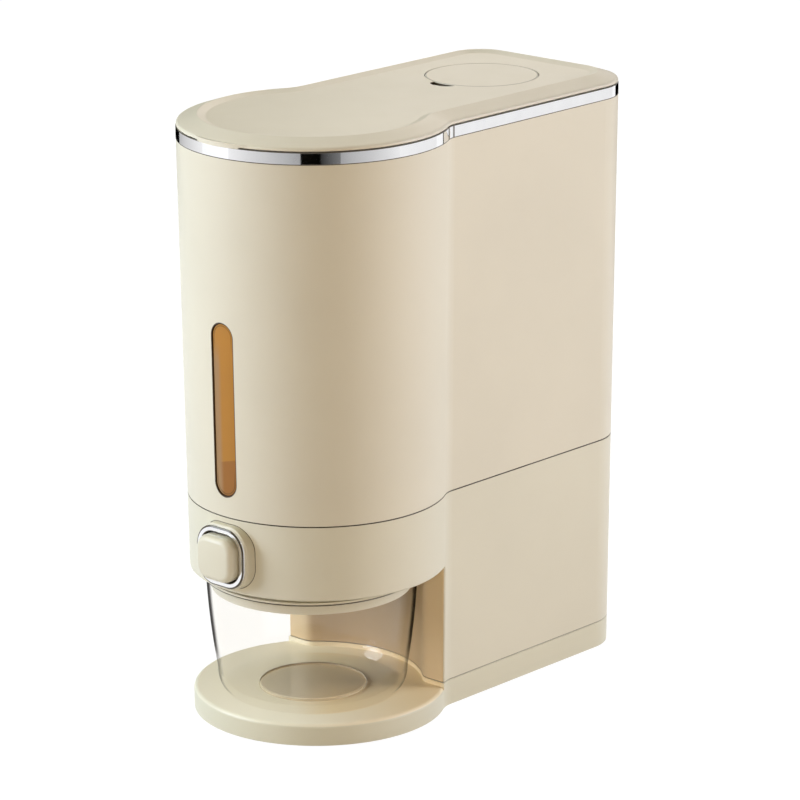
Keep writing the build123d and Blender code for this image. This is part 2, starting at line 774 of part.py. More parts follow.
# Chrome bezel around the button, with a sleeve that goes into the boss
with BuildPart() as button_bezel:
    with BuildSketch(Plane.XZ.offset(boss_face)):
        add(button_outline(button_surround + bezel_width))
    extrude(amount=bezel_proud)
    with BuildSketch(Plane.XZ.offset(bezel_face - bezel_depth)):
        add(button_outline(button_surround + bezel_sleeve))
    extrude(amount=bezel_depth - bezel_proud)
    with BuildSketch(Plane.XZ.offset(bezel_face - bezel_depth)):
        add(button_outline(button_surround))
    extrude(amount=bezel_depth, mode=Mode.SUBTRACT)
    fillet(button_bezel.faces().sort_by(Axis.Y)[0].edges(), bezel_edge_radius)
button_bezel.part.label = "button_bezel"
export_step(button_bezel.part, "parts/button_bezel.step")

# Guide: a square cup behind the boss that carries the stem and the spring
with BuildPart() as button_guide:
    with BuildSketch(Plane.XZ.offset(guide_back)):
        add(button_outline(button_surround + bezel_sleeve + guide_wall))
    extrude(amount=boss_back - guide_back)
    with BuildSketch(Plane.XZ.offset(guide_back + guide_wall)):
        add(button_outline(button_surround))
    extrude(amount=boss_back - guide_back - guide_wall, mode=Mode.SUBTRACT)
    with BuildSketch(Plane.XZ.offset(guide_back)):
        with Locations((0, button_z)):
            Circle(stem_radius + loose_gap)
    extrude(amount=guide_wall, mode=Mode.SUBTRACT)
button_guide.part.label = "button_guide"
export_step(button_guide.part, "parts/button_guide.step")

# Yoke: the stem behind the button, forked around the throat to the gate's drive pins
arm_end = drive_pin_y + 3 * drive_pin_radius
with BuildPart() as push_yoke:
    with BuildSketch(Plane.XZ.offset(yoke_front)):
        with Locations((0, button_z)):
            Circle(stem_radius)
    extrude(amount=cap_inside - button_wall / 2 - seat_gap - yoke_front)
    with BuildSketch(Plane.XZ.offset(yoke_front)):
        with Locations((0, button_z)):
            Rectangle(2 * arm_outer, yoke_height)
    extrude(amount=yoke_bar)
    with BuildSketch(Plane.XZ.offset(-arm_end)):
        with Locations((-(arm_inner + arm_outer) / 2, button_z), ((arm_inner + arm_outer) / 2, button_z)):
            Rectangle(yoke_arm, yoke_height)
    extrude(amount=yoke_front + arm_end)
    with BuildSketch(Plane.YZ.offset(-arm_outer)):
        with Locations((drive_pin_y, (drive_pin_high + drive_pin_low) / 2)):
            SlotOverall(
                drive_pin_high - drive_pin_low + 2 * (drive_pin_radius + loose_gap),
                2 * (drive_pin_radius + slot_gap),
                rotation=90,
            )
    extrude(amount=2 * arm_outer, mode=Mode.SUBTRACT)
push_yoke.part.label = "push_yoke"
export_step(push_yoke.part, "parts/push_yoke.step")

# Return spring: one round wire in a steady helix, as pairs of arcs for each half turn
spring_start = guide_back + guide_wall + spring_wire + seat_gap
spring_end = cap_inside - button_wall / 2 - spring_wire - seat_gap
spring_pitch = (spring_end - spring_start) / spring_turns


def spring_point(turn):
    """Point of the spring's centre line after some turns, counted from its back end."""
    angle = 2 * pi * turn
    return Vector(spring_radius * cos(angle), -spring_start - spring_pitch * turn, button_z + spring_radius * sin(angle))


def spring_direction(turn):
    """Direction of the spring's centre line after some turns."""
    angle = 2 * pi * turn
    around = 2 * pi * spring_radius
    return Vector(-around * sin(angle), -spring_pitch, around * cos(angle)).normalized()


with BuildPart() as return_spring:
    with BuildLine() as coil:
        for half in range(2 * spring_turns):
            start, end = spring_point(half / 2), spring_point((half + 1) / 2)
            leave, arrive = spring_direction(half / 2), spring_direction((half + 1) / 2)
            chord = end - start
            both = leave + arrive
            spare = 2 * (1 - leave.dot(arrive))
            along = chord.dot(both)
            handle = (-along + sqrt(along ** 2 + spare * chord.dot(chord))) / spare
            middle = (start + leave * handle + end - arrive * handle) / 2
            first = TangentArc(start, middle, tangent=leave)
            TangentArc(middle, end, tangent=first % 1)
    with BuildSketch(Plane(origin=coil.line @ 0, z_dir=coil.line % 0)):
        Circle(spring_wire)
    sweep()
print("spring: pitch", round(spring_pitch, 2), "least gap between turns", round(spring_pitch - 2 * spring_wire, 2))
return_spring.part.label = "return_spring"
export_step(return_spring.part, "parts/return_spring.step")

# Lid cover: a broad rounded rim swept around a sunken panel, with the well for the desiccant holder
rim_inner = rim_width + rim_slope + dish_margin
neck_x = box_half_width + neck_radius
neck_y = sqrt((front_radius + neck_radius) ** 2 - neck_x ** 2)
with BuildPart() as lid_cover:
    with BuildLine(Plane.XY.offset(lid_bottom)):
        front = CenterArc((0, 0), front_radius, -90, 90 + degrees(atan2(neck_y, neck_x)))
        neck = TangentArc(front @ 1, (box_half_width, neck_y), tangent=front % 1)
        right = Line(neck @ 1, (box_half_width, back_reach - back_corner_radius))
        corner = TangentArc(right @ 1, (box_half_width - back_corner_radius, back_reach), tangent=right % 1)
        Line(corner @ 1, (0, back_reach))
    with BuildSketch(Plane.YZ) as rim_section:
        with BuildLine():
            Polyline(
                (lid_inset - front_radius, lid_bottom),
                (lid_inset - front_radius, lid_bottom + lid_edge_height),
                (rim_width - front_radius, lid_crest),
                (rim_width + rim_slope - front_radius, panel_top),
                (rim_inner - front_radius, panel_top),
                (rim_inner - front_radius, panel_under),
                (liner_inset - seat_gap - front_radius, panel_under),
                (liner_inset - seat_gap - front_radius, lid_bottom),
                close=True,
            )
        make_face()
        for inset, level, radius in (
            (lid_inset, lid_bottom + lid_edge_height, lid_edge_radius),
            (rim_width, lid_crest, crest_radius),
            (rim_width + rim_slope, panel_top, dish_radius),
        ):
            fillet(rim_section.vertices().sort_by_distance(Vector(inset - front_radius, level))[0], radius)
    sweep()
    mirror(about=Plane.YZ)
    with BuildSketch(Plane.XY.offset(panel_under)):
        add(keyhole(rim_inner - dish_margin / 2))
    extrude(amount=lid_wall)
    # Screw bosses under the panel and the ring around the holder
    with BuildSketch(Plane.XY.offset(liner_bottom + liner_floor)):
        with Locations(lid_screw_spots):
            Circle(lid_boss_radius)
    extrude(amount=panel_under - liner_bottom - liner_floor)
    with BuildSketch(Plane.XY.offset(liner_bottom + liner_floor)):
        with Locations(lid_screw_spots):
            Circle(lid_screw_radius + seat_gap)
    extrude(amount=liner_depth - liner_floor, mode=Mode.SUBTRACT)
    with BuildSketch(Plane.XY.offset(ledge_bottom)):
        with Locations((0, holder_y)):
            Circle(holder_well_radius + holder_boss_wall)
        with Locations((0, holder_y - holder_well_radius)):
            Ellipse(notch_half_width + holder_boss_wall, notch_reach + holder_boss_wall)
    extrude(amount=panel_under - ledge_bottom)
    # Well for the holder's flange and cap, its bore, and the finger notch
    with BuildSketch(Plane.XY.offset(holder_floor_top)):
        with Locations((0, holder_y)):
            Circle(holder_well_radius)
    extrude(amount=lid_crest - holder_floor_top, mode=Mode.SUBTRACT)
    with BuildSketch(Plane.XY.offset(ledge_bottom)):
        with Locations((0, holder_y)):
            Circle(holder_bore)
    extrude(amount=lid_crest - ledge_bottom, mode=Mode.SUBTRACT)
    with BuildSketch(Plane.XY.offset(holder_floor_top)):
        with Locations((0, holder_y - holder_well_radius)):
            Ellipse(notch_half_width, notch_reach)
    extrude(amount=lid_crest - holder_floor_top, mode=Mode.SUBTRACT)
    # Finger lip: a crescent at the front that hangs a little over the trim
    with BuildSketch(Plane.XY.offset(lid_bottom)):
        with Locations((0, lip_radius - front_radius - lip_proud)):
            Circle(lip_radius)
        Circle(front_radius - lid_edge_radius, mode=Mode.SUBTRACT)
    extrude(amount=lid_edge_height)
    with BuildSketch(Plane.XY.offset(lid_bottom - lip_drop)):
        with Locations((0, lip_radius - front_radius - lip_proud)):
            Circle(lip_radius)
        Circle(front_radius + lip_gap, mode=Mode.SUBTRACT)
    extrude(amount=lip_drop)
    # Hinge arm and knuckle at the back
    with BuildSketch(Plane.YZ.offset(-lid_knuckle_half)):
        with BuildLine():
            Polyline(
                (back_reach - lid_edge_radius, lid_bottom),
                (back_reach - lid_edge_radius, lid_bottom + lid_wall),
                (back_reach, lid_bottom + lid_wall / 2),
                (hinge_y + barrel_radius * cos(radians(45)), hinge_z + barrel_radius * sin(radians(45))),
                (hinge_y, hinge_z),
                (hinge_y - barrel_radius, hinge_z),
                (hinge_y - barrel_radius, lid_bottom),
                close=True,
            )
        make_face()
        with Locations((hinge_y, hinge_z)):
            Circle(barrel_radius)
            Circle(hinge_pin_radius + running_gap, mode=Mode.SUBTRACT)
    extrude(amount=2 * lid_knuckle_half)
lid_cover.part.label = "lid_cover"
export_step(lid_cover.part, "parts/lid_cover.step")

# Hinge pin, fixed in the shell's brackets
with BuildPart() as hinge_pin:
    with BuildSketch(Plane.YZ.offset(-hinge_half_width)):
        with Locations((hinge_y, hinge_z)):
            Circle(hinge_pin_radius)
    extrude(amount=2 * hinge_half_width)
hinge_pin.part.label = "hinge_pin"
export_step(hinge_pin.part, "parts/hinge_pin.step")

# Lid liner: shallow tray under the cover that plugs the hopper, with a groove for the seal
seal_bottom = flange_top - liner_flange - seal_height
with BuildPart() as lid_liner:
    with BuildSketch(Plane.XY.offset(liner_bottom)):
        add(keyhole(liner_inset))
    extrude(amount=panel_under - liner_bottom)
    with BuildSketch(Plane.XY.offset(liner_bottom + liner_floor)):
        add(keyhole(liner_inset + liner_wall))
    extrude(amount=panel_under - liner_bottom - liner_floor, mode=Mode.SUBTRACT)
    for flange_z in (seal_bottom - liner_flange, seal_bottom + seal_height):
        with BuildSketch(Plane.XY.offset(flange_z)):
            add(keyhole(liner_inset - seal_reach / 2))
            add(keyhole(liner_inset + liner_wall / 2), mode=Mode.SUBTRACT)
        extrude(amount=liner_flange)
    with BuildSketch(Plane.XY.offset(liner_bottom)):
        with Locations((0, holder_y)):
            Circle(holder_bore)
        with Locations(lid_screw_spots):
            Circle(lid_screw_radius + seat_gap)
    extrude(amount=liner_floor, mode=Mode.SUBTRACT)
lid_liner.part.label = "lid_liner"
export_step(lid_liner.part, "parts/lid_liner.step")

# Rubber seal around the liner
with BuildPart() as lid_seal:
    with BuildSketch(Plane.XY.offset(seal_bottom + seat_gap)):
        add(keyhole(liner_inset - seal_reach))
        add(keyhole(liner_inset), mode=Mode.SUBTRACT)
    extrude(amount=seal_height - 2 * seat_gap)
lid_seal.part.label = "lid_seal"
export_step(lid_seal.part, "parts/lid_seal.step")

# Screws that hold the liner to the cover
with BuildPart() as lid_screws:
    with Locations([(x, y, liner_bottom) for x, y in lid_screw_spots]):
        add(pan_screw(lid_screw_radius, lid_screw_head_radius, lid_screw_head, liner_depth - seat_gap))
lid_screws.part.label = "lid_screws"
export_step(lid_screws.part, "parts/lid_screws.step")

# Desiccant basket: hangs through the lid by its flange, with slots and holes for the air
with BuildPart() as desiccant_basket:
    with BuildSketch(Plane.XY.offset(holder_bottom)):
        with Locations((0, holder_y)):
            Circle(holder_radius)
    extrude(amount=holder_depth)
    with BuildSketch(Plane.XY.offset(holder_floor_top)):
        with Locations((0, holder_y)):
            Circle(holder_cap_radius)
    extrude(amount=holder_flange)
    with BuildSketch(Plane.XY.offset(holder_bottom + holder_wall)):
        with Locations((0, holder_y)):
            Circle(holder_radius - holder_wall)
    extrude(amount=holder_depth + holder_flange - holder_wall, mode=Mode.SUBTRACT)
    with BuildSketch(Plane.XY.offset(holder_bottom)):
        with Locations((0, holder_y)):
            with GridLocations(6 * vent_hole_radius, 6 * vent_hole_radius, 5, 5):
                Circle(vent_hole_radius)
    extrude(amount=holder_wall, mode=Mode.SUBTRACT)
    vent_z = holder_bottom + holder_wall + vent_height
    for index in range(vent_count // 2):
        turned = Plane(origin=(0, holder_y, vent_z), x_dir=(0, 0, 1), z_dir=(1, 0, 0)).rotated(
            (360 / vent_count * index, 0, 0))
        with BuildSketch(turned.offset(-holder_radius - holder_wall)):
            SlotOverall(vent_height, vent_width)
        extrude(amount=2 * (holder_radius + holder_wall), mode=Mode.SUBTRACT)
desiccant_basket.part.label = "desiccant_basket"
export_step(desiccant_basket.part, "parts/desiccant_basket.step")

# Sachet of drying beads lying in the basket
with BuildPart() as desiccant_sachet:
    with BuildSketch(Plane.XY.offset(holder_bottom + holder_wall + loose_gap)):
        with Locations((0, holder_y)):
            Circle(sachet_radius)
    extrude(amount=sachet_height)
    fillet(desiccant_sachet.edges(), sachet_height / 3)
desiccant_sachet.part.label = "desiccant_sachet"
export_step(desiccant_sachet.part, "parts/desiccant_sachet.step")

# Cap of the desiccant holder, flush with the panel of the lid
with BuildPart() as desiccant_cap:
    with BuildSketch(Plane.XY.offset(panel_top - holder_cap_thickness)):
        with Locations((0, holder_y)):
            Circle(holder_cap_radius)
    extrude(amount=holder_cap_thickness)
    fillet(desiccant_cap.edges().group_by(Axis.Z)[-1], holder_gap)
    with BuildSketch(Plane.XY.offset(panel_top - holder_cap_thickness - cap_skirt)):
        with Locations((0, holder_y)):
            Circle(holder_radius - holder_wall - loose_gap)
            Circle(holder_radius - holder_wall - loose_gap - cap_skirt_wall, mode=Mode.SUBTRACT)
    extrude(amount=cap_skirt)
desiccant_cap.part.label = "desiccant_cap"
export_step(desiccant_cap.part, "parts/desiccant_cap.step")

# Measuring cup: clear, with a thick floor and a shallow hollow under it
with BuildPart() as measuring_cup:
    with BuildSketch(Plane.XZ):
        add(cup_outline(0, cup_bottom))
        add(cup_outline(cup_wall, cup_bottom + cup_floor), mode=Mode.SUBTRACT)
    revolve(axis=Axis.Z)
    with BuildSketch(Plane.XY.offset(cup_bottom)):
        Circle(punt_radius)
    extrude(amount=punt_depth, mode=Mode.SUBTRACT)
measuring_cup.part = measuring_cup.part.moved(Location((0, cup_axis_y, 0)))
measuring_cup.part.label = "measuring_cup"
export_step(measuring_cup.part, "parts/measuring_cup.step")

# Collar on the cup: a flange over the rim with a groove under its edge, and a short skirt inside the cup
with BuildPart() as cup_collar:
    with BuildSketch(Plane.XY.offset(cup_rim - collar_depth)):
        with Locations((0, cup_axis_y)):
            Circle(collar_skirt_radius)
    extrude(amount=collar_depth + collar_rise)
    with BuildSketch(Plane.XY.offset(cup_rim + seat_gap)):
        with Locations((0, cup_axis_y)):
            Circle(cup_rim_radius - collar_groove)
    extrude(amount=collar_rise - seat_gap)
    with BuildSketch(Plane.XY.offset(collar_bottom)):
        with Locations((0, cup_axis_y)):
            Circle(collar_radius)
    extrude(amount=collar_flange)
    with BuildSketch(Plane.XY.offset(cup_rim - collar_depth)):
        with Locations((0, cup_axis_y)):
            Circle(collar_skirt_radius - collar_wall)
    extrude(amount=collar_depth + collar_rise + collar_flange, mode=Mode.SUBTRACT)
cup_collar.part.label = "cup_collar"
export_step(cup_collar.part, "parts/cup_collar.step")

print("gate: lever", round(lever, 3), "mm, ratio", round(radians(gate_swing) / button_travel * 1000, 3), "rad per m")
print("hinge at", round(hinge_y, 3), round(hinge_z, 3), "pivot at", round(pivot_z, 3), "button at", round(button_z, 3))
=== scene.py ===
import json
from math import cos, radians, sin, tan

import bpy
from mathutils import Matrix, Vector


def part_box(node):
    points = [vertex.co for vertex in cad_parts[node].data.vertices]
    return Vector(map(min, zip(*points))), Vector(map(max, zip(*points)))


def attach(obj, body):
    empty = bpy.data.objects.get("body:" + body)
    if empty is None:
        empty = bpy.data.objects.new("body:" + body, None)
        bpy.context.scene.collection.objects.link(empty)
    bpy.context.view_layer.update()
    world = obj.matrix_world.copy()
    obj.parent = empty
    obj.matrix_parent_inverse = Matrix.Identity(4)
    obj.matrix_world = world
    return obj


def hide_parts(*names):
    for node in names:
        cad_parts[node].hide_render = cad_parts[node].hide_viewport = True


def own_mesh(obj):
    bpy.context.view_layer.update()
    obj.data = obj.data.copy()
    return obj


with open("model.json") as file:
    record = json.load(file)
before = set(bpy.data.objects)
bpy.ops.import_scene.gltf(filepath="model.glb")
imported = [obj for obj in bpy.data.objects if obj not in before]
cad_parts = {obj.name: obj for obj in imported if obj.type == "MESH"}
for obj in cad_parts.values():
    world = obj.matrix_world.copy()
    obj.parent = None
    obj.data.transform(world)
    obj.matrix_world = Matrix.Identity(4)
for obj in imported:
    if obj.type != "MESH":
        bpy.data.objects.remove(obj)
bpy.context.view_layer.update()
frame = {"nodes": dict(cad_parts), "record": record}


def lowest(node, axis):
    """Lowest place of a CAD node along an axis."""
    return getattr(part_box(node)[0], axis)


def highest(node, axis):
    """Highest place of a CAD node along an axis."""
    return getattr(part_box(node)[1], axis)


def middle(node, axis):
    """Middle of a CAD node along an axis."""
    return (lowest(node, axis) + highest(node, axis)) / 2


def half_width(node, axis):
    """Half of what a CAD node measures along an axis."""
    return (highest(node, axis) - lowest(node, axis)) / 2


# Camera, as measured in the photo: angles in degrees, lengths in metres
CAMERA_AZIMUTH = 42.568
CAMERA_ELEVATION = 16.2746
CAMERA_ROLL = -0.3251
CAMERA_DISTANCE = 2.38052
CAMERA_TARGET = (0.0667, 0.0, 0.20291)
FOCAL_PIXELS = 4110.5
PHOTO_PIXELS = 800
SENSOR_WIDTH = 36.0

# Colours as linear values
CREAM = (0.70, 0.635, 0.505)
CASING_CREAM = (0.685, 0.63, 0.495)
TRAY_CREAM = (0.66, 0.615, 0.47)
# Painted shade: tan of the shaded cup bay, and a lighter tan towards its sides
BAY_PAINTED_SHADE = (0.50, 0.355, 0.195)
BAY_SIDE_PAINTED_SHADE = (0.68, 0.51, 0.295)
# Painted light that makes the pad paler than the tray, and painted shade that turns it tan
PAD_PAINTED_LIGHT = (0.86, 0.80, 0.64)
PAD_PAINTED_SHADE = (0.86, 0.68, 0.40)
# Dark of painted shade in seams, gaps, grooves and recesses, and of painted dark reflections in the chrome
PAINTED_DARK = (0.05, 0.035, 0.015)
WHITE_PLASTIC = (0.74, 0.72, 0.66)
AMBER = (0.50, 0.22, 0.035)
# Painted shadow in the lower part of the window, and a painted sheen at its left
AMBER_PAINTED_SHADOW = (0.36, 0.145, 0.03)
AMBER_PAINTED_SHEEN = (0.41, 0.235, 0.105)
# Dark of the painted shade line around the window, and of the lens's fine dark lines
AMBER_LINE = (0.07, 0.035, 0.01)
CHROME = (0.88, 0.88, 0.89)
STEEL = (0.52, 0.51, 0.49)
CLEAR = (0.993, 0.988, 0.978)
# Painted dark edge of the clear plastic where its wall is seen edge on
CLEAR_PAINTED_EDGE = (0.05, 0.04, 0.03)
CLEAR_BASE = (0.64, 0.58, 0.50)
# Painted shade: opaque tan that stands in for the shaded pad seen through the wall of the hollow in the cup's
# foot
CLEAR_PAINTED_RING = (0.60, 0.51, 0.36)
SILICONE = (0.72, 0.71, 0.67)
RUBBER = (0.022, 0.022, 0.023)
CLOTH = (0.78, 0.78, 0.75)
FLOOR = (0.62, 0.60, 0.57)
FLOOR_SHOWN = (0.10, 0.10, 0.10)
WHITE = (1.0, 1.0, 1.0)

# Roughness of the moulded plastics, and how far it strays
SATIN = 0.42
MATTE = 0.55
GLOSS_CHANGE = 0.025

# How far the roughness of metal strays, as a share of it
POLISH_CHANGE = 0.2

# Depth of the fine grain and waves of the surfaces, in metres
PLASTIC_GRAIN = 0.00001
CLEAR_WAVE = 0.00006
RUBBER_GRAIN = 0.00003
CLOTH_GRAIN = 0.0002

# Range that most of a noise texture lies in
NOISE_LOW = 0.3
NOISE_HIGH = 0.7

# Width that fine lines are counted in, in metres
HAIR = 0.0003

# Places on the object that its finish and painted shade follow, taken from its nodes, in metres
TRIM_BOTTOM = lowest("chrome_trim", "z")
TRIM_TOP = highest("chrome_trim", "z")
LID_PANEL = highest("desiccant_cap", "z")
WELL_Y = middle("desiccant_cap", "y")
FRONT_RADIUS = half_width("lid_cover", "x")
CUP_RIM = highest("measuring_cup", "z")
CUP_AXIS_Y = middle("measuring_cup", "y")
BUTTON_Z = middle("button_cap", "z")
BUTTON_HALF_WIDTH = half_width("button_cap", "x")
BUTTON_HALF_HEIGHT = half_width("button_cap", "z")
BEZEL_OUTER = half_width("button_bezel", "x") - BUTTON_HALF_WIDTH
BEZEL_FACE = lowest("button_bezel", "y")
WINDOW_Z = middle("window_lens", "z")
WINDOW_STRAIGHT = half_width("window_lens", "z") - half_width("window_lens", "x")

# Other places that they follow, in metres; tilt and taper are slopes
BAY_TOP = 0.0905
BAY_BACK = 0.0401
BAY_DEPTH = 0.0715
CUP_FOOT_RADIUS = 0.0535
COLLAR_FLANGE = 0.0853
CUP_TAPER = 0.1088
CUP_SIDE = 0.0532
PAD_LEVEL = 0.0125
CASING_BOTTOM = 0.0172
PAD_RADIUS = 0.0785
SEAM = 0.136
NECK_Y = 0.0409
NECK_END_Y = 0.0471
WINDOW_STEP = 0.1693
WINDOW_TILT = 0.27
WINDOW_HALF_WIDTH = 0.0084
BUTTON_CORNER = 0.009
BEZEL_INNER = 0.0008
BOSS_EDGE = 0.0056
WELL_RADIUS = 0.0425
CAP_RADIUS = 0.0336
PUNT_RADIUS = 0.0322
PUNT_TOP = 0.0157
LIP_HALF_WIDTH = 0.0165

# Start and end of a gradual change of painted shade, light and sheen, in metres
BAY_SIDE_FADE = (0.03, 0.06)
PAD_FADE = (-0.06, 0.09)
PAD_SHADE_FADE = (-0.035, 0.015)
LID_FADE = (-0.04, 0.12)
CUP_WALL_FADE = (0.03, 0.045)
WINDOW_SIDE_FADE = (-0.001, -0.005)
WINDOW_TOP_FADE = (0.245, 0.225)

# Length of a change of painted light and shade at an edge, in metres
PAD_EDGE_FADE = 0.006
LIP_FADE = 0.003
WINDOW_END_FADE = 0.01

# Strength of painted shade and dark lines, from none at 0 to full at 1
CASING_FOOT_LINE = 0.6
LID_BACK_SHADE = 0.1
LID_LINE = 0.5
WINDOW_SECOND_LINE = 0.5
CUP_EDGE_LEAST = 0.35

# Clear plastic: how far edge on its painted dark edge sets in, and its mirror share seen straight and edge on
EDGE_ON = (0.70, 0.86)
MIRROR_STRAIGHT = 0.02
MIRROR_EDGE_ON = 0.1
MIRROR_POWER = 5.0

# Studio
WORLD_LIGHT = (1.0, 0.90, 0.73)
WORLD_STRENGTH = 0.02
LEFT_COLOUR = (0.71, 0.82, 1.0)
LEFT_TOP_COLOUR = (0.95, 1.0, 0.67)
RIGHT_COLOUR = (0.95, 0.94, 1.0)
BACK_RIGHT_COLOUR = (0.64, 0.83, 1.0)
FRONT_COLOUR = (1.0, 0.78, 0.50)
BACK_COLOUR = (1.0, 0.83, 0.71)
FLOOR_GLOW = 0.975
FLOOR_SIZE = 14.0
LAMP_DISTANCE = 2.6
CARD_DISTANCE = 1.3
CARD_HEIGHT = 1.6
BACK_CARD_DISTANCE = 1.0
BACK_CARD_HEIGHT = 0.5
OBJECT_AXIS = (0.0, 0.0, 0.2)


def spherical(azimuth, elevation, distance, centre=CAMERA_TARGET):
    """Point seen from the centre at an azimuth, counted from -Y towards +X, and an elevation."""
    a, e = radians(azimuth), radians(elevation)
    direction = Vector((sin(a) * cos(e), -cos(a) * cos(e), sin(e)))
    return Vector(centre) + direction * distance


def look_from(place, target, roll=0.0):
    """Matrix of a camera or lamp at a place that looks at a target."""
    back = (Vector(place) - Vector(target)).normalized()
    right = Vector((0.0, 0.0, 1.0)).cross(back).normalized()
    up = back.cross(right)
    turned_right = right * cos(roll) + up * sin(roll)
    turned_up = up * cos(roll) - right * sin(roll)
    matrix = Matrix((turned_right, turned_up, back)).transposed().to_4x4()
    matrix.translation = place
    return matrix


def add_object(name, data):
    """New object in the scene."""
    item = bpy.data.objects.new(name, data)
    bpy.context.scene.collection.objects.link(item)
    return item


def place_camera():
    """Camera at the photograph's place and angle."""
    data = bpy.data.cameras.new("camera")
    data.sensor_width = SENSOR_WIDTH
    data.lens = FOCAL_PIXELS / PHOTO_PIXELS * SENSOR_WIDTH
    data.clip_end = 4 * FLOOR_SIZE
    camera = add_object("camera", data)
    place = spherical(CAMERA_AZIMUTH, CAMERA_ELEVATION, CAMERA_DISTANCE)
    camera.matrix_world = look_from(place, CAMERA_TARGET, radians(CAMERA_ROLL))
    bpy.context.scene.camera = camera


class Nodes:
    """Short hand for the node tree of a material or the world."""

    def __init__(self, owner):
        owner.use_nodes = True
        self.tree = owner.node_tree
        self.tree.nodes.clear()

    def add(self, kind, inputs=None, **settings):
        node = self.tree.nodes.new(kind)
        for key, value in settings.items():
            setattr(node, key, value)
        for key, value in (inputs or {}).items():
            self.put(node.inputs[key], value)
        return node

    def put(self, socket, value):
        if isinstance(value, bpy.types.NodeSocket):
            self.tree.links.new(value, socket)
        elif isinstance(value, tuple) and len(value) == 3 and socket.type == "RGBA":
            socket.default_value = (*value, 1.0)
        else:
            socket.default_value = value

    def noise(self, scale, detail, stretch=(1.0, 1.0, 1.0)):
        place = self.add("ShaderNodeTexCoord").outputs["Object"]
        mapping = self.add("ShaderNodeMapping", {"Vector": place, "Scale": stretch}).outputs["Vector"]
        settings = {"Vector": mapping, "Scale": scale, "Detail": detail}
        return self.add("ShaderNodeTexNoise", settings).outputs["Fac"]

    def ramp(self, value, low, high, from_low=NOISE_LOW, from_high=NOISE_HIGH):
        """A straight change from the low to the high value, held at both ends."""
        return self.add("ShaderNodeMapRange", {
            "Value": value, "From Min": from_low, "From Max": from_high, "To Min": low, "To Max": high,
        }).outputs["Result"]

    def blend(self, factor, first, second):
        mix = self.add("ShaderNodeMix", data_type="RGBA")
        self.put(mix.inputs[0], factor)
        self.put(mix.inputs[6], first)
        self.put(mix.inputs[7], second)
        return mix.outputs[2]

    def mottled(self, factor, colour, low, high=1.0):
        """A colour between a darker and a lighter tone of itself."""
        return self.blend(factor, scaled(colour, low), scaled(colour, high))

    def math(self, operation, first, second=0.0):
        return self.add("ShaderNodeMath", {0: first, 1: second}, operation=operation).outputs[0]

    def place(self):
        """X, Y and Z of the shaded point in its own piece, in metres."""
        place = self.add("ShaderNodeTexCoord").outputs["Object"]
        return self.add("ShaderNodeSeparateXYZ", {"Vector": place}).outputs

    def rise(self, value, start, end):
        """A smooth change from 0 at the start to 1 at the end."""
        return self.add("ShaderNodeMapRange", {"Value": value, "From Min": start, "From Max": end},
                        interpolation_type="SMOOTHSTEP").outputs["Result"]

    def band(self, value, start, end):
        """1 between a start and an end, each a pair of limits for its smooth change, and 0 outside them."""
        return self.both(self.rise(value, *start), self.rise(value, *reversed(end)))

    def radius(self, x, y, centre_y=0.0):
        """Distance from an upright axis."""
        along = self.math("SUBTRACT", y, centre_y)
        from_axis = self.add("ShaderNodeCombineXYZ", {"X": x, "Y": along}).outputs["Vector"]
        return self.add("ShaderNodeVectorMath", {0: from_axis}, operation="LENGTH").outputs["Value"]

    def from_button(self, x, z):
        """Distance outside the button's outline, seen from the front."""
        beside = self.math("SUBTRACT", self.math("ABSOLUTE", x), BUTTON_HALF_WIDTH - BUTTON_CORNER)
        above = self.math("ABSOLUTE", self.math("SUBTRACT", z, BUTTON_Z))
        above = self.math("SUBTRACT", above, BUTTON_HALF_HEIGHT - BUTTON_CORNER)
        corner = self.radius(self.math("MAXIMUM", beside, 0.0), self.math("MAXIMUM", above, 0.0))
        return self.math("SUBTRACT", corner, BUTTON_CORNER)

    def both(self, first, second):
        return self.math("MULTIPLY", first, second)

    def either(self, first, second):
        return self.math("MAXIMUM", first, second)

    def bump(self, height, distance):
        return self.add("ShaderNodeBump", {"Height": height, "Distance": distance}).outputs["Normal"]

    def shader(self, kind, inputs):
        return self.add(kind, inputs).outputs[0]

    def mix(self, factor, first, second):
        """The first shader where the factor is 0 and the second where it is 1."""
        return self.shader("ShaderNodeMixShader", {0: factor, 1: first, 2: second})

    def finish(self, shader, kind="ShaderNodeOutputMaterial"):
        self.add(kind, {"Surface": shader})


def scaled(colour, factor):
    return tuple(channel * factor for channel in colour)


def in_bay(nodes, x, y):
    """1 inside the plan of the cup bay and 0 outside."""
    round_part = nodes.rise(nodes.radius(x, y, CUP_AXIS_Y), BAY_DEPTH + HAIR, BAY_DEPTH)
    return nodes.either(round_part, nodes.rise(y, BAY_BACK + HAIR, BAY_BACK))


def at_front(nodes, y):
    """1 at the front of the body, fading to 0 at its axis."""
    return nodes.rise(y, 0.0, -BAY_DEPTH)


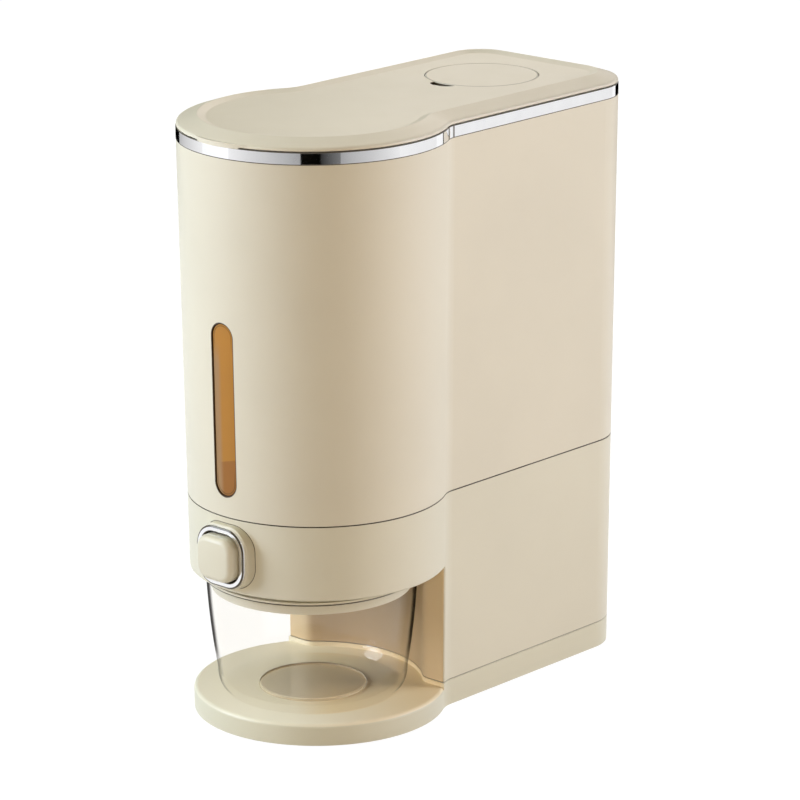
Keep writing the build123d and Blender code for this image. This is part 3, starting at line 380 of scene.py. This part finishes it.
def casing_painted_shade(nodes, base):
    """Painted shade: tan in the shaded cup bay, and fine dark lines at the seam, foot, skirt and button."""
    x, y, z = nodes.place()
    bay = nodes.both(in_bay(nodes, x, y), nodes.rise(z, BAY_TOP, BAY_TOP - HAIR))
    beside = nodes.rise(nodes.math("ABSOLUTE", x), *BAY_SIDE_FADE)
    tan_shade = nodes.blend(beside, BAY_PAINTED_SHADE, BAY_SIDE_PAINTED_SHADE)
    base = nodes.blend(bay, base, tan_shade)
    # Painted shade: fine dark lines in the seam, at the foot and at the lower edge of the skirt
    seam = nodes.rise(z, SEAM - 1.5 * HAIR, SEAM - HAIR)
    foot = nodes.rise(z, CASING_BOTTOM + 1.5 * HAIR, CASING_BOTTOM + HAIR)
    foot = nodes.math("MULTIPLY", foot, CASING_FOOT_LINE)
    skirt = nodes.band(z, (BAY_TOP - 2 * HAIR, BAY_TOP - HAIR), (BAY_TOP + HAIR, BAY_TOP + 2 * HAIR))
    round_wall = nodes.rise(nodes.radius(x, y), FRONT_RADIUS - 3 * HAIR, FRONT_RADIUS - 2 * HAIR)
    skirt = nodes.both(skirt, nodes.both(round_wall, nodes.rise(y, BAY_BACK, BAY_BACK - HAIR)))
    seam = nodes.either(nodes.either(seam, foot), skirt)
    # Painted shade: a fine dark line around the foot of the button boss
    edge = nodes.from_button(x, z)
    around = nodes.band(edge, (BOSS_EDGE, BOSS_EDGE + HAIR / 3), (BOSS_EDGE + HAIR, BOSS_EDGE + 2 * HAIR))
    around = nodes.both(around, at_front(nodes, y))
    return nodes.blend(nodes.either(seam, around), base, PAINTED_DARK)


def window_height(nodes, z):
    """Height over or under the middle of the window."""
    return nodes.math("ABSOLUTE", nodes.math("SUBTRACT", z, WINDOW_Z))


def from_window(nodes, x, z):
    """Distance from the middle line of the window, seen from the front."""
    past_straight = nodes.math("SUBTRACT", window_height(nodes, z), WINDOW_STRAIGHT)
    return nodes.radius(x, nodes.math("MAXIMUM", past_straight, 0.0))


def shell_painted_shade(nodes, base):
    """Painted shade: a fine dark line around the window."""
    x, y, z = nodes.place()
    line = nodes.band(from_window(nodes, x, z),
                      (WINDOW_HALF_WIDTH - HAIR, WINDOW_HALF_WIDTH - HAIR / 2),
                      (WINDOW_HALF_WIDTH + HAIR, WINDOW_HALF_WIDTH + 2 * HAIR))
    return nodes.blend(nodes.both(line, at_front(nodes, y)), base, AMBER_LINE)


def tray_painted_light_and_shade(nodes, base):
    """Painted light that makes the pad paler, and painted shade that turns it tan towards its right and
    towards the bay, and sooner so under the cup.
    """
    x, y, z = nodes.place()
    across = nodes.math("ADD", x, y)
    inside = nodes.rise(nodes.radius(x, y), PAD_RADIUS, PAD_RADIUS - PAD_EDGE_FADE)
    back = nodes.both(nodes.rise(across, *PAD_FADE), inside)
    under = nodes.rise(nodes.radius(x, y, CUP_AXIS_Y), CUP_FOOT_RADIUS + 3 * HAIR, CUP_FOOT_RADIUS)
    under = nodes.both(under, nodes.rise(across, *PAD_SHADE_FADE))
    pad = nodes.both(nodes.rise(z, PAD_LEVEL, PAD_LEVEL + HAIR), in_bay(nodes, x, y))
    base = nodes.blend(nodes.both(pad, inside), base, PAD_PAINTED_LIGHT)
    return nodes.blend(nodes.both(pad, nodes.either(back, under)), base, PAD_PAINTED_SHADE)


def collar_painted_shade(nodes, base):
    """Painted shade in the groove between the flange of the collar and the rim of the cup."""
    z = nodes.place()["Z"]
    groove = nodes.band(z,
                        (CUP_RIM - 2 * HAIR, CUP_RIM - HAIR),
                        (COLLAR_FLANGE + HAIR, COLLAR_FLANGE + 2 * HAIR))
    return nodes.blend(groove, base, PAINTED_DARK)


def lid_painted_shade(nodes, base):
    """Painted shade: a slightly deeper tone at the back, dark in the depth of the notch, and fine dark lines
    at the cap and the lip.
    """
    x, y, z = nodes.place()
    back = nodes.math("MULTIPLY", nodes.rise(y, *LID_FADE), LID_BACK_SHADE)
    base = nodes.blend(back, base, PAINTED_DARK)
    from_cap = nodes.radius(x, y, WELL_Y)
    well = nodes.rise(from_cap, WELL_RADIUS + HAIR, WELL_RADIUS)
    deep = nodes.both(well, nodes.rise(z, LID_PANEL - HAIR, LID_PANEL - 2 * HAIR))
    crease = nodes.band(nodes.radius(x, y),
                        (FRONT_RADIUS - 2 * HAIR, FRONT_RADIUS - HAIR),
                        (FRONT_RADIUS, FRONT_RADIUS + HAIR))
    lip = nodes.rise(nodes.math("ABSOLUTE", x), LIP_HALF_WIDTH, LIP_HALF_WIDTH - LIP_FADE)
    crease = nodes.both(crease, nodes.both(lip, at_front(nodes, y)))
    ring = nodes.band(from_cap,
                      (CAP_RADIUS - HAIR, CAP_RADIUS - HAIR / 2),
                      (CAP_RADIUS + 1.5 * HAIR, CAP_RADIUS + 2 * HAIR))
    fine = nodes.math("MULTIPLY", nodes.either(crease, ring), LID_LINE)
    return nodes.blend(nodes.either(deep, fine), base, PAINTED_DARK)


def plastic(name, colour, roughness, mottle=0.03, tints=None):
    """Moulded plastic: a faint change of colour, a fine grain, a slightly uneven gloss, and the painted light
    and shade of its tints if given.
    """
    material = bpy.data.materials.new(name)
    nodes = Nodes(material)
    cloud = nodes.ramp(nodes.noise(scale=9.0, detail=3.0), 0.0, 1.0)
    base = nodes.mottled(cloud, colour, 1.0 - mottle, 1.0 + mottle)
    if tints:
        base = tints(nodes, base)
    gloss = nodes.noise(scale=60.0, detail=3.0)
    nodes.finish(nodes.shader("ShaderNodeBsdfPrincipled", {
        "Base Color": base,
        "Roughness": nodes.ramp(gloss, roughness - GLOSS_CHANGE, roughness + GLOSS_CHANGE),
        "IOR": 1.5,
        "Normal": nodes.bump(nodes.noise(scale=1400.0, detail=2.0), PLASTIC_GRAIN),
    }))
    return material


def trim_lines(nodes):
    """Painted shade as fine dark lines where the trim meets the shell and the lid, and painted dark
    reflections in the bend of its neck.
    """
    y, z = nodes.place()[1:]
    bottom = nodes.rise(z, TRIM_BOTTOM + 2 * HAIR, TRIM_BOTTOM + HAIR)
    top = nodes.band(z, (TRIM_TOP - 2 * HAIR, TRIM_TOP - HAIR), (TRIM_TOP - HAIR / 5, TRIM_TOP - HAIR / 10))
    neck = nodes.band(y, (NECK_Y - 5 * HAIR, NECK_Y - 4 * HAIR), (NECK_Y + 4 * HAIR, NECK_Y + 5 * HAIR))
    neck_end = nodes.band(y,
                          (NECK_END_Y - 3 * HAIR, NECK_END_Y - HAIR),
                          (NECK_END_Y + HAIR, NECK_END_Y + 3 * HAIR))
    return nodes.either(nodes.either(bottom, top), nodes.either(neck, neck_end))


def bezel_lines(nodes):
    """Fine dark lines along both edges of the bezel's face: painted shade in the gap at its inner edge and a
    painted dark reflection on its outer edge.
    """
    x, y, z = nodes.place()
    edge = nodes.from_button(x, z)
    inner = nodes.rise(edge, BEZEL_INNER + 3 * HAIR, BEZEL_INNER + 2 * HAIR)
    outer = nodes.rise(edge, BEZEL_OUTER - 4 * HAIR, BEZEL_OUTER - 3 * HAIR)
    face = nodes.rise(y, BEZEL_FACE + 3 * HAIR, BEZEL_FACE + 2 * HAIR)
    return nodes.either(inner, nodes.both(outer, face))


def metal(name, colour, roughness, smear=0.0, lines=None):
    """Plated or drawn metal with a slightly uneven polish, and with painted dark lines of shade and
    reflection where told.
    """
    material = bpy.data.materials.new(name)
    nodes = Nodes(material)
    streaks = nodes.noise(scale=90.0, detail=3.0, stretch=(1.0, 1.0, 1.0 + smear))
    base = nodes.mottled(nodes.ramp(streaks, 0.0, 1.0), colour, low=0.97)
    metallic = 1.0
    if lines:
        mask = lines(nodes)
        base = nodes.blend(mask, base, PAINTED_DARK)
        metallic = nodes.math("SUBTRACT", 1.0, mask)
    stray = roughness * POLISH_CHANGE
    nodes.finish(nodes.shader("ShaderNodeBsdfPrincipled", {
        "Base Color": base,
        "Metallic": metallic,
        "Roughness": nodes.ramp(streaks, low=roughness - stray, high=roughness + stray),
    }))
    return material


def clear_tint(nodes, colour, radius, z, grazing):
    """Colour of what shows through the cup: a painted dark edge where its wall is seen edge on, and tinted
    over the hollow.
    """
    side = nodes.math("SUBTRACT", radius, nodes.math("MULTIPLY", z, CUP_TAPER))
    outside = nodes.rise(side, CUP_SIDE - HAIR, CUP_SIDE)
    faded = nodes.math("MAXIMUM", nodes.rise(z, *CUP_WALL_FADE), CUP_EDGE_LEAST)
    edge = nodes.both(nodes.both(nodes.rise(grazing, *EDGE_ON), outside), faded)
    level = nodes.band(z, (PUNT_TOP - HAIR, PUNT_TOP - HAIR / 2), (PUNT_TOP + HAIR / 2, PUNT_TOP + HAIR))
    punt = nodes.both(nodes.rise(radius, PUNT_RADIUS, PUNT_RADIUS - 5 * HAIR), level)
    return nodes.blend(punt, nodes.blend(edge, colour, CLEAR_PAINTED_EDGE), CLEAR_BASE)


def clear_plastic(name, colour):
    """Clear plastic with a mirroring skin, and painted shade in an opaque tan ring around the hollow in its
    foot.
    """
    material = bpy.data.materials.new(name)
    nodes = Nodes(material)
    x, y, z = nodes.place()
    radius = nodes.radius(x, y, CUP_AXIS_Y)
    grazing = nodes.add("ShaderNodeLayerWeight", {"Blend": 0.5}).outputs["Facing"]
    tint = clear_tint(nodes, colour, radius, z, grazing)
    through = nodes.shader("ShaderNodeBsdfTransparent", {"Color": tint})
    wave = nodes.bump(nodes.noise(scale=30.0, detail=1.0), CLEAR_WAVE)
    gloss = nodes.shader("ShaderNodeBsdfGlossy", {"Color": WHITE, "Roughness": 0.03, "Normal": wave})
    share = nodes.math("POWER", grazing, MIRROR_POWER)
    mirrored = nodes.ramp(share, MIRROR_STRAIGHT, MIRROR_EDGE_ON, 0.0, 1.0)
    # Painted shade: an opaque tan ring on the wall of the hollow, standing in for the shaded pad seen through
    # it
    wall = nodes.band(radius, (PUNT_RADIUS - 2 * HAIR, PUNT_RADIUS - HAIR), (PUNT_RADIUS, PUNT_RADIUS + HAIR))
    wall = nodes.both(wall, nodes.rise(z, PUNT_TOP, PUNT_TOP - HAIR))
    painted_ring = nodes.shader("ShaderNodeBsdfDiffuse", {"Color": CLEAR_PAINTED_RING})
    skin = nodes.mix(wall, nodes.mix(mirrored, through, gloss), painted_ring)
    # Lamps shine through it, so that the pad under the cup is lit
    lit = nodes.shader("ShaderNodeBsdfTransparent", {"Color": colour})
    shadow_ray = nodes.add("ShaderNodeLightPath").outputs["Is Shadow Ray"]
    nodes.finish(nodes.mix(shadow_ray, skin, lit))
    return material


def amber_plastic(name, colour, shadow_colour):
    """Tinted window, with a painted shadow below a step, a painted sheen at its left and fine dark lines
    along its edge.
    """
    material = bpy.data.materials.new(name)
    nodes = Nodes(material)
    x, _, z = nodes.place()
    cloud = nodes.ramp(nodes.noise(scale=14.0, detail=2.0), 0.0, 1.0)
    tilted = nodes.math("SUBTRACT", z, nodes.math("MULTIPLY", x, WINDOW_TILT))
    # Painted shadow darkens the window below the tilted step
    low = nodes.rise(tilted, WINDOW_STEP + 3 * HAIR, WINDOW_STEP)
    base = nodes.blend(low, nodes.mottled(cloud, colour, low=0.93, high=1.07), shadow_colour)
    # Painted sheen at the window's left
    sheen = nodes.both(nodes.rise(x, *WINDOW_SIDE_FADE), nodes.rise(z, *WINDOW_TOP_FADE))
    base = nodes.blend(sheen, base, AMBER_PAINTED_SHEEN)
    reach = from_window(nodes, x, z)
    line = nodes.rise(reach, WINDOW_HALF_WIDTH - 3 * HAIR, WINDOW_HALF_WIDTH - 2 * HAIR)
    second = nodes.band(reach,
                        (WINDOW_HALF_WIDTH - 7 * HAIR, WINDOW_HALF_WIDTH - 6 * HAIR),
                        (WINDOW_HALF_WIDTH - 5 * HAIR, WINDOW_HALF_WIDTH - 4 * HAIR))
    ends = nodes.rise(window_height(nodes, z), WINDOW_STRAIGHT - WINDOW_END_FADE, WINDOW_STRAIGHT)
    second = nodes.both(second, nodes.math("MULTIPLY", ends, WINDOW_SECOND_LINE))
    nodes.finish(nodes.shader("ShaderNodeBsdfPrincipled", {
        "Base Color": nodes.blend(nodes.either(line, second), base, AMBER_LINE),
        "Roughness": 0.12,
        "IOR": 1.3,
        "Transmission Weight": 0.15,
    }))
    return material


def rubber(name, colour):
    """Soft rubber with a dull, fine-grained skin."""
    material = bpy.data.materials.new(name)
    nodes = Nodes(material)
    grain = nodes.noise(scale=900.0, detail=4.0)
    nodes.finish(nodes.shader("ShaderNodeBsdfPrincipled", {
        "Base Color": nodes.mottled(grain, colour, low=0.9, high=1.1),
        "Roughness": nodes.ramp(grain, low=0.62, high=0.78),
        "Normal": nodes.bump(grain, RUBBER_GRAIN),
    }))
    return material


def cloth(name, colour):
    """Non-woven cloth of a sachet."""
    material = bpy.data.materials.new(name)
    nodes = Nodes(material)
    fibres = nodes.noise(scale=700.0, detail=6.0, stretch=(1.0, 3.0, 1.0))
    nodes.finish(nodes.shader("ShaderNodeBsdfPrincipled", {
        "Base Color": nodes.mottled(fibres, colour, low=0.85),
        "Roughness": 0.9,
        "Sheen Weight": 0.2,
        "Normal": nodes.bump(fibres, CLOTH_GRAIN),
    }))
    return material


def shown_white(nodes):
    """1 for what the camera sees straight, in metal or through glass, and 0 for light on the object."""
    path = nodes.add("ShaderNodeLightPath").outputs
    seen = nodes.either(path["Is Camera Ray"], path["Is Glossy Ray"])
    seen = nodes.either(seen, path["Is Transmission Ray"])
    return nodes.both(seen, nodes.math("LESS_THAN", path["Diffuse Depth"], 1.0))


def dress_world():
    """White background for the camera, and a soft warm light for the object."""
    world = bpy.data.worlds.new("studio")
    nodes = Nodes(world)
    light = nodes.shader("ShaderNodeBackground", {"Color": WORLD_LIGHT, "Strength": WORLD_STRENGTH})
    backdrop = nodes.shader("ShaderNodeBackground", {"Color": WHITE, "Strength": 1.0})
    nodes.finish(nodes.mix(shown_white(nodes), light, backdrop), "ShaderNodeOutputWorld")
    bpy.context.scene.world = world


def rectangle(name, width, height, material):
    """Flat rectangle around its own origin."""
    x, y = width / 2, height / 2
    mesh = bpy.data.meshes.new(name)
    mesh.from_pydata([(-x, -y, 0), (x, -y, 0), (x, y, 0), (-x, y, 0)], [], [(0, 1, 2, 3)])
    mesh.materials.append(material)
    return add_object(name, mesh)


def lay_floor():
    """Plain floor that shows white and keeps the object's shadow."""
    material = bpy.data.materials.new("floor")
    nodes = Nodes(material)
    shown = shown_white(nodes)
    real = nodes.mottled(nodes.noise(scale=40.0, detail=3.0), FLOOR, low=0.985)
    diffuse = nodes.shader("ShaderNodeBsdfDiffuse", {"Color": nodes.blend(shown, real, FLOOR_SHOWN)})
    glow = nodes.math("MULTIPLY", shown, FLOOR_GLOW)
    emission = nodes.shader("ShaderNodeEmission", {"Color": WHITE, "Strength": glow})
    nodes.finish(nodes.shader("ShaderNodeAddShader", {0: diffuse, 1: emission}))
    floor = rectangle("floor", FLOOR_SIZE, FLOOR_SIZE, material)


def lamp(name, azimuth, elevation, size, power, colour):
    """Rectangular soft box that faces the object."""
    data = bpy.data.lights.new(name, "AREA")
    data.shape = "RECTANGLE"
    data.size, data.size_y = size
    data.energy = power
    data.color = colour
    light = add_object(name, data)
    light.matrix_world = look_from(spherical(azimuth, elevation, LAMP_DISTANCE), CAMERA_TARGET)


def card(name, start, end, first, last, distance=CARD_DISTANCE, height=CARD_HEIGHT):
    """Card between two azimuths that only polished surfaces see, from one grey to another."""
    material = bpy.data.materials.new(name)
    nodes = Nodes(material)
    width = 2 * distance * tan(radians((end - start) / 2))
    grey = nodes.ramp(nodes.place()["X"], first, last, -width / 2, width / 2)
    nodes.finish(nodes.shader("ShaderNodeEmission", {"Color": WHITE, "Strength": grey}))
    board = rectangle(name, width, height, material)
    board.matrix_world = look_from(spherical((start + end) / 2, 0.0, distance, OBJECT_AXIS), OBJECT_AXIS)
    board.visible_camera = False
    board.visible_diffuse = False
    board.visible_shadow = False


def lay_coil(node, material):
    """Return spring: a copy of the CAD coil in the given material, kept on the body in place of the CAD one.
    """
    coil = add_object("return_coil", node.data.copy())
    coil.material_slots[0].material = material
    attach(coil, "body")
    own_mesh(coil)
    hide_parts("return_spring")


bpy.context.scene.view_settings.view_transform = "Standard"
place_camera()
dress_world()
lay_floor()

# Lamps: strong ones at the left and the right, and weaker ones above the left, in front and behind
lamp("left_light", azimuth=-42.0, elevation=20.0, size=(1.2, 1.4), power=67.0, colour=LEFT_COLOUR)
lamp("left_top_light", azimuth=-60.0, elevation=45.0, size=(1.4, 1.2), power=21.5, colour=LEFT_TOP_COLOUR)
lamp("right_light", azimuth=135.0, elevation=20.0, size=(1.2, 1.4), power=50.0, colour=RIGHT_COLOUR)
lamp("back_right_light", azimuth=150.0, elevation=2.0, size=(1.2, 2.0), power=17.5, colour=BACK_RIGHT_COLOUR)
lamp("front_light", azimuth=43.0, elevation=8.0, size=(1.2, 1.4), power=24.5, colour=FRONT_COLOUR)
lamp("back_light", azimuth=223.0, elevation=30.0, size=(1.6, 1.0), power=10.5, colour=BACK_COLOUR)

# Cards that give the chrome and the glass their greys and dark edges
card("left_black", start=-137.0, end=-104.0, first=0.0, last=0.0)
card("left_grey", start=-104.0, end=-60.0, first=0.52, last=1.0)
card("front_grey", start=-30.0, end=33.0, first=1.0, last=0.38)
card("front_black", start=33.0, end=49.0, first=0.0, last=0.0)
card("front_dark", start=49.0, end=65.0, first=0.03, last=0.2)
card("right_grey", start=65.0, end=118.0, first=0.4, last=0.95)
card("side_grey", start=118.0, end=165.0, first=1.0, last=0.93)
card("back_black", start=177.0, end=224.0, first=0.0, last=0.0,
     distance=BACK_CARD_DISTANCE, height=BACK_CARD_HEIGHT)

# Finishes, by node where a piece has its own and else by material slot
materials = {
    "shell_cream": plastic("cream_plastic", CREAM, SATIN),
    "casing_cream": plastic("casing_plastic", CASING_CREAM, SATIN),
    "upper_shell": plastic("shell_plastic", CREAM, SATIN, tints=shell_painted_shade),
    "lower_casing": plastic("lower_casing_plastic", CASING_CREAM, SATIN, tints=casing_painted_shade),
    "base_tray": plastic("tray_plastic", TRAY_CREAM, SATIN, tints=tray_painted_light_and_shade),
    "cup_collar": plastic("collar_plastic", CASING_CREAM, SATIN, tints=collar_painted_shade),
    "lid_cover": plastic("lid_plastic", CREAM, SATIN, tints=lid_painted_shade),
    "desiccant_cap": plastic("cap_plastic", CREAM, SATIN, tints=lid_painted_shade),
    "inner_white": plastic("inner_plastic", WHITE_PLASTIC, MATTE, mottle=0.02),
    "amber_lens": amber_plastic("amber_plastic", AMBER, AMBER_PAINTED_SHADOW),
    "clear_plastic": clear_plastic("clear_plastic", CLEAR),
    "chrome_trim": metal("trim_plate", CHROME, roughness=0.05, lines=trim_lines),
    "button_bezel": metal("bezel_plate", CHROME, roughness=0.08, lines=bezel_lines),
    "steel": metal("plain_steel", STEEL, roughness=0.28, smear=8.0),
    "pale_rubber": rubber("silicone", SILICONE),
    "dark_rubber": rubber("foot_rubber", RUBBER),
    "sachet_cloth": cloth("sachet_cloth", CLOTH),
}
for subpart in frame["record"]["subparts"]:
    name = subpart["node"]
    for slot in frame["nodes"][name].material_slots:
        slot.material = materials.get(name) or materials[subpart["material_slot"]]
lay_coil(frame["nodes"]["return_spring"], materials["steel"])
